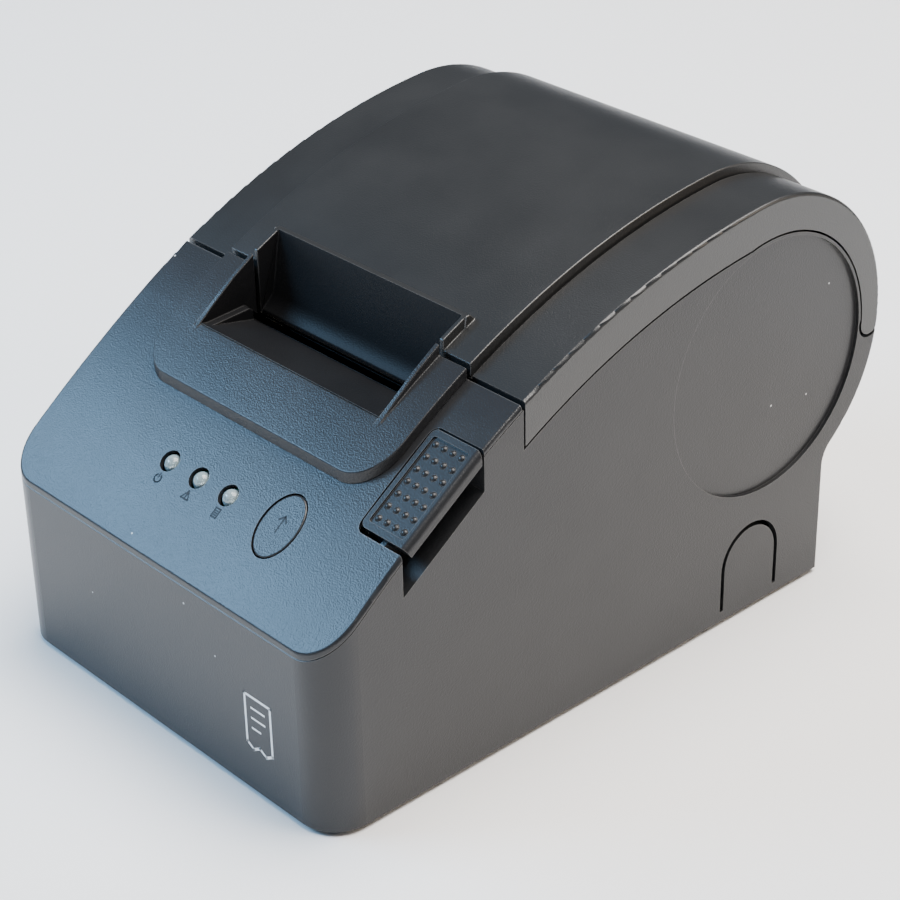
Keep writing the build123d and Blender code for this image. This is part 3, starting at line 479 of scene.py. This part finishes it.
signInk = mouldedPlastic("signInk", {"dark": (0.004, 0.005, 0.007), "light": (0.008, 0.009, 0.011),
                                     "rough": (0.6, 0.7), "grainScale": 2500.0, "bump": 0.2})
printInk = mouldedPlastic("printInk", {"dark": (0.72, 0.73, 0.74), "light": (0.82, 0.83, 0.84),
                                       "rough": (0.4, 0.5), "grainScale": 3000.0, "bump": 0.15})


def strip(x0, y0, x1, y1, wide):
    bpy.ops.mesh.primitive_plane_add(size=1.0)
    bar = bpy.context.object
    length = sqrt((x1 - x0) ** 2 + (y1 - y0) ** 2)
    bar.scale = (length + wide, wide, 1)
    bar.rotation_euler = (0, 0, Vector((x1 - x0, y1 - y0)).angle_signed(Vector((1, 0))) if length else 0)
    bar.location = ((x0 + x1) / 2, (y0 + y1) / 2, 0)
    return bar


def outline(points, wide, close=True):
    ends = points[1:] + points[:1] if close else points[1:]
    return [strip(*start, *end, wide) for start, end in zip(points, ends)]


def ringArc(x, y, radius, wide, low, high):
    angles = [low + (high - low) * step / 16 for step in range(17)]
    points = [(x + radius * cos(radians(turn)), y + radius * sin(radians(turn))) for turn in angles]
    return outline(points, wide, close=False)


def joinParts(parts, name):
    selectNone()
    for part in parts:
        part.select_set(True)
    bpy.context.view_layer.objects.active = parts[0]
    bpy.ops.object.transform_apply(location=True, rotation=True, scale=True)
    bpy.ops.object.join()
    piece = bpy.context.object
    piece.name = name
    piece.data.name = name
    return piece


def laySign(piece, target, spot, upSlope, lift, ink, body):
    # the sign is drawn flat in millimetres, then laid on the face it belongs to
    pickObject(piece)
    bpy.ops.object.mode_set(mode="EDIT")
    bpy.ops.mesh.select_all(action="SELECT")
    bpy.ops.mesh.subdivide(number_cuts=2)
    bpy.ops.object.mode_set(mode="OBJECT")
    across = Vector((1, 0, 0))
    outward = across.cross(upSlope)
    for point in piece.data.vertices:
        flat = point.co * mm
        start = spot + across * flat.x + upSlope * flat.y + outward * 0.02
        hit, place, normal, index = target.ray_cast(start, -outward, distance=0.05)
        point.co = (place if hit else start - outward * 0.02) + outward * lift * mm
    wearMaterial(piece, ink)
    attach(piece, body)


controls = {"y": -0.0815, "signDrop": 0.0058, "lean": 37.4, "line": 0.46, "leds": (-0.0156, -0.0036, 0.0084),
            "buttonRise": 0.0045, "feedX": 0.0285, "feedLine": 1.1, "signLift": 0.012,
            "printSpot": (0.0395, -0.1, 0.0225), "printLine": 0.75, "printScale": 1.45, "printLift": 0.015}
upSlope = Vector((0, cos(radians(controls["lean"])), sin(radians(controls["lean"]))))


def signSpot(x, drop):
    return Vector((x, controls["y"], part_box("feed_button")[1].z - controls["buttonRise"])) - upSlope * drop


def powerSign(line):
    return ringArc(0, 0, 1.15, line, 125, 415) + [strip(0, 0.3, 0, 1.5, line)]


def warningSign(line):
    return outline([(-1.35, -1.05), (1.35, -1.05), (0, 1.3)], line) + [strip(0, -0.15, 0, 0.45, line),
                                                                     strip(0, -0.62, 0, -0.6, line)]


def paperSign(line):
    return outline([(-0.9, -1.2), (0.9, -1.2), (0.9, 1.3), (-0.9, 1.3)], line) + [
        strip(-0.4, 0.6, 0.4, 0.6, line * 0.8), strip(-0.4, 0, 0.4, 0, line * 0.8),
        strip(-0.4, -0.6, 0.4, -0.6, line * 0.8)]


def feedSign(line):
    return [strip(0, -2.2, 0, 2.2, line), strip(0, 2.3, -1.3, 0.9, line), strip(0, 2.3, 1.3, 0.9, line)]


def receiptSign(line):
    grow = controls["printScale"]
    tooth = [((3.4 - 1.7 * step) * grow, (-5.6 if step % 2 else -4.6) * grow) for step in range(5)]
    corners = [(-3.4, -4.6), (-3.4, 5.4), (3.4, 5.4), (3.4, -4.6)]
    edge = outline([(x * grow, y * grow) for x, y in corners], line, close=False)
    rows = [strip(-1.7 * grow, high * grow, right * grow, high * grow, line * 0.8)
            for high, right in ((3.1, 1.7), (1.0, 1.7), (-1.1, 0.4))]
    return edge + outline(tooth, line, close=False) + rows


selectNone()
for x, drawSign, name in zip(controls["leds"], (powerSign, warningSign, paperSign),
                             ("powerSign", "warningSign", "paperSign")):
    laySign(joinParts(drawSign(controls["line"]), name), nodes["front_panel"],
            signSpot(x, controls["signDrop"]), upSlope, controls["signLift"], signInk, "base")
laySign(joinParts(feedSign(controls["line"] * controls["feedLine"]), "feedSign"), nodes["feed_button"],
        signSpot(controls["feedX"], 0), upSlope, controls["signLift"], signInk, "feed_button")
laySign(joinParts(receiptSign(controls["printLine"]), "receiptSign"), nodes["lower_case"],
        Vector(controls["printSpot"]), Vector((0, 0, 1)), controls["printLift"], printInk, "base")
print("signs laid")


# lamps: clear lenses, each over a small bright cup

lampLook = {"cupWide": 1.6, "cupFoot": 0.5, "cupDeep": 1.1, "cupWall": 0.12, "cupDrop": 2.6}   # millimetres
lampNames = ("power_led", "error_led", "paper_led")


def clearLens():
    material, add, link, shader = startMaterial("clearLens")
    grain = useGroup(add, mouldGrain, Scale=300.0)
    tint = add("ShaderNodeValToRGB")
    tint.color_ramp.elements[0].color = (0.42, 0.55, 0.58, 1)
    tint.color_ramp.elements[1].color = (0.55, 0.68, 0.7, 1)
    link(grain.outputs["Tone"], tint.inputs["Fac"])
    link(tint.outputs["Color"], shader.inputs["Base Color"])
    shader.inputs["Roughness"].default_value = 0.05
    shader.inputs["IOR"].default_value = 1.55
    shader.inputs["Transmission Weight"].default_value = 0.55
    return material


surface["clearLens"] = clearLens()
for name in lampNames:
    for place in nodes[name].material_slots:
        place.material = surface["clearLens"]


def buildCup(name, x):
    # the cup hangs below the top of its lens, square to the slope
    outward = Vector((0, -sin(radians(controls["lean"])), cos(radians(controls["lean"]))))
    middle = Vector((x, controls["y"], 0))
    middle.z = signSpot(x, 0).z
    hit, place, normal, index = nodes[name].ray_cast(middle + outward * 0.02, -outward, distance=0.05)
    top = place if hit else middle
    selectNone()
    bpy.ops.mesh.primitive_cone_add(vertices=24, radius1=lampLook["cupFoot"] * mm,
                                    radius2=lampLook["cupWide"] * mm, depth=lampLook["cupDeep"] * mm,
                                    end_fill_type="NOTHING")
    cup = bpy.context.object
    bpy.ops.object.mode_set(mode="EDIT")
    bpy.ops.mesh.select_all(action="SELECT")
    bpy.ops.mesh.subdivide(number_cuts=1)
    bpy.ops.object.mode_set(mode="OBJECT")
    cup.rotation_euler = (radians(controls["lean"]), 0, 0)
    cup.location = top - outward * lampLook["cupDrop"] * mm
    settlePiece(cup)
    wall = cup.modifiers.new("cupWall", "SOLIDIFY")
    wall.thickness = lampLook["cupWall"] * mm
    applyModifiers(cup)
    smoothPiece(cup, 50)
    cup.name = name.replace("_led", "Cup")
    wearMaterial(cup, surface["brightSteel"])
    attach(cup, "base")


for name, x in zip(lampNames, controls["leds"]):
    buildCup(name, x)
print("lamps built")
